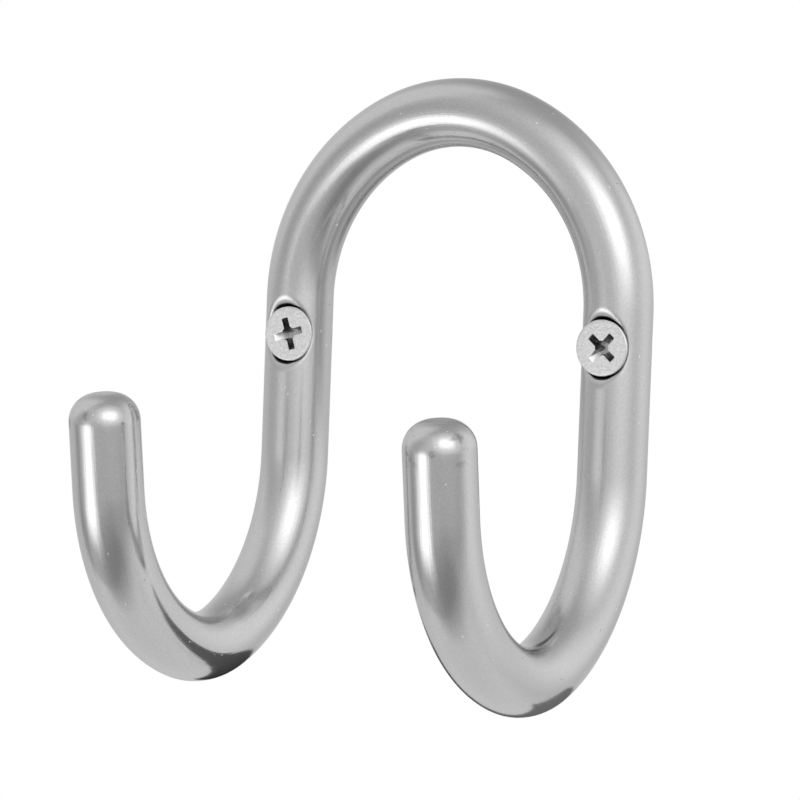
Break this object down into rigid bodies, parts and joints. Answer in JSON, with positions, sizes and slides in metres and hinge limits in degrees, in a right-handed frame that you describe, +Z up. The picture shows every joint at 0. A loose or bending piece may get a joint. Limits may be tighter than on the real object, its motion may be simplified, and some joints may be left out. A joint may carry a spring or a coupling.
{
  "type": "double coat hook",
  "caption": "Wall coat hook bent from polished round bar: an arch whose legs sweep out into upturned hooks with domed tips, held by countersunk cross-recess screws.",
  "frame": {"origin": "on the wall, at the back of the bar, midway between the axes of the two screws", "axes": "+X to the right seen from the front, +Y into the wall along the screws, +Z up"},
  "size_m": [0.0603, 0.0739, 0.0844],
  "materials": {
    "polished_bar": "polished",
    "screw_steel": "satin"
  },
  "bodies": {
    "root": {"hook_rod": "polished_bar", "screw_left": "screw_steel", "screw_right": "screw_steel"}
  },
  "joints": []
}
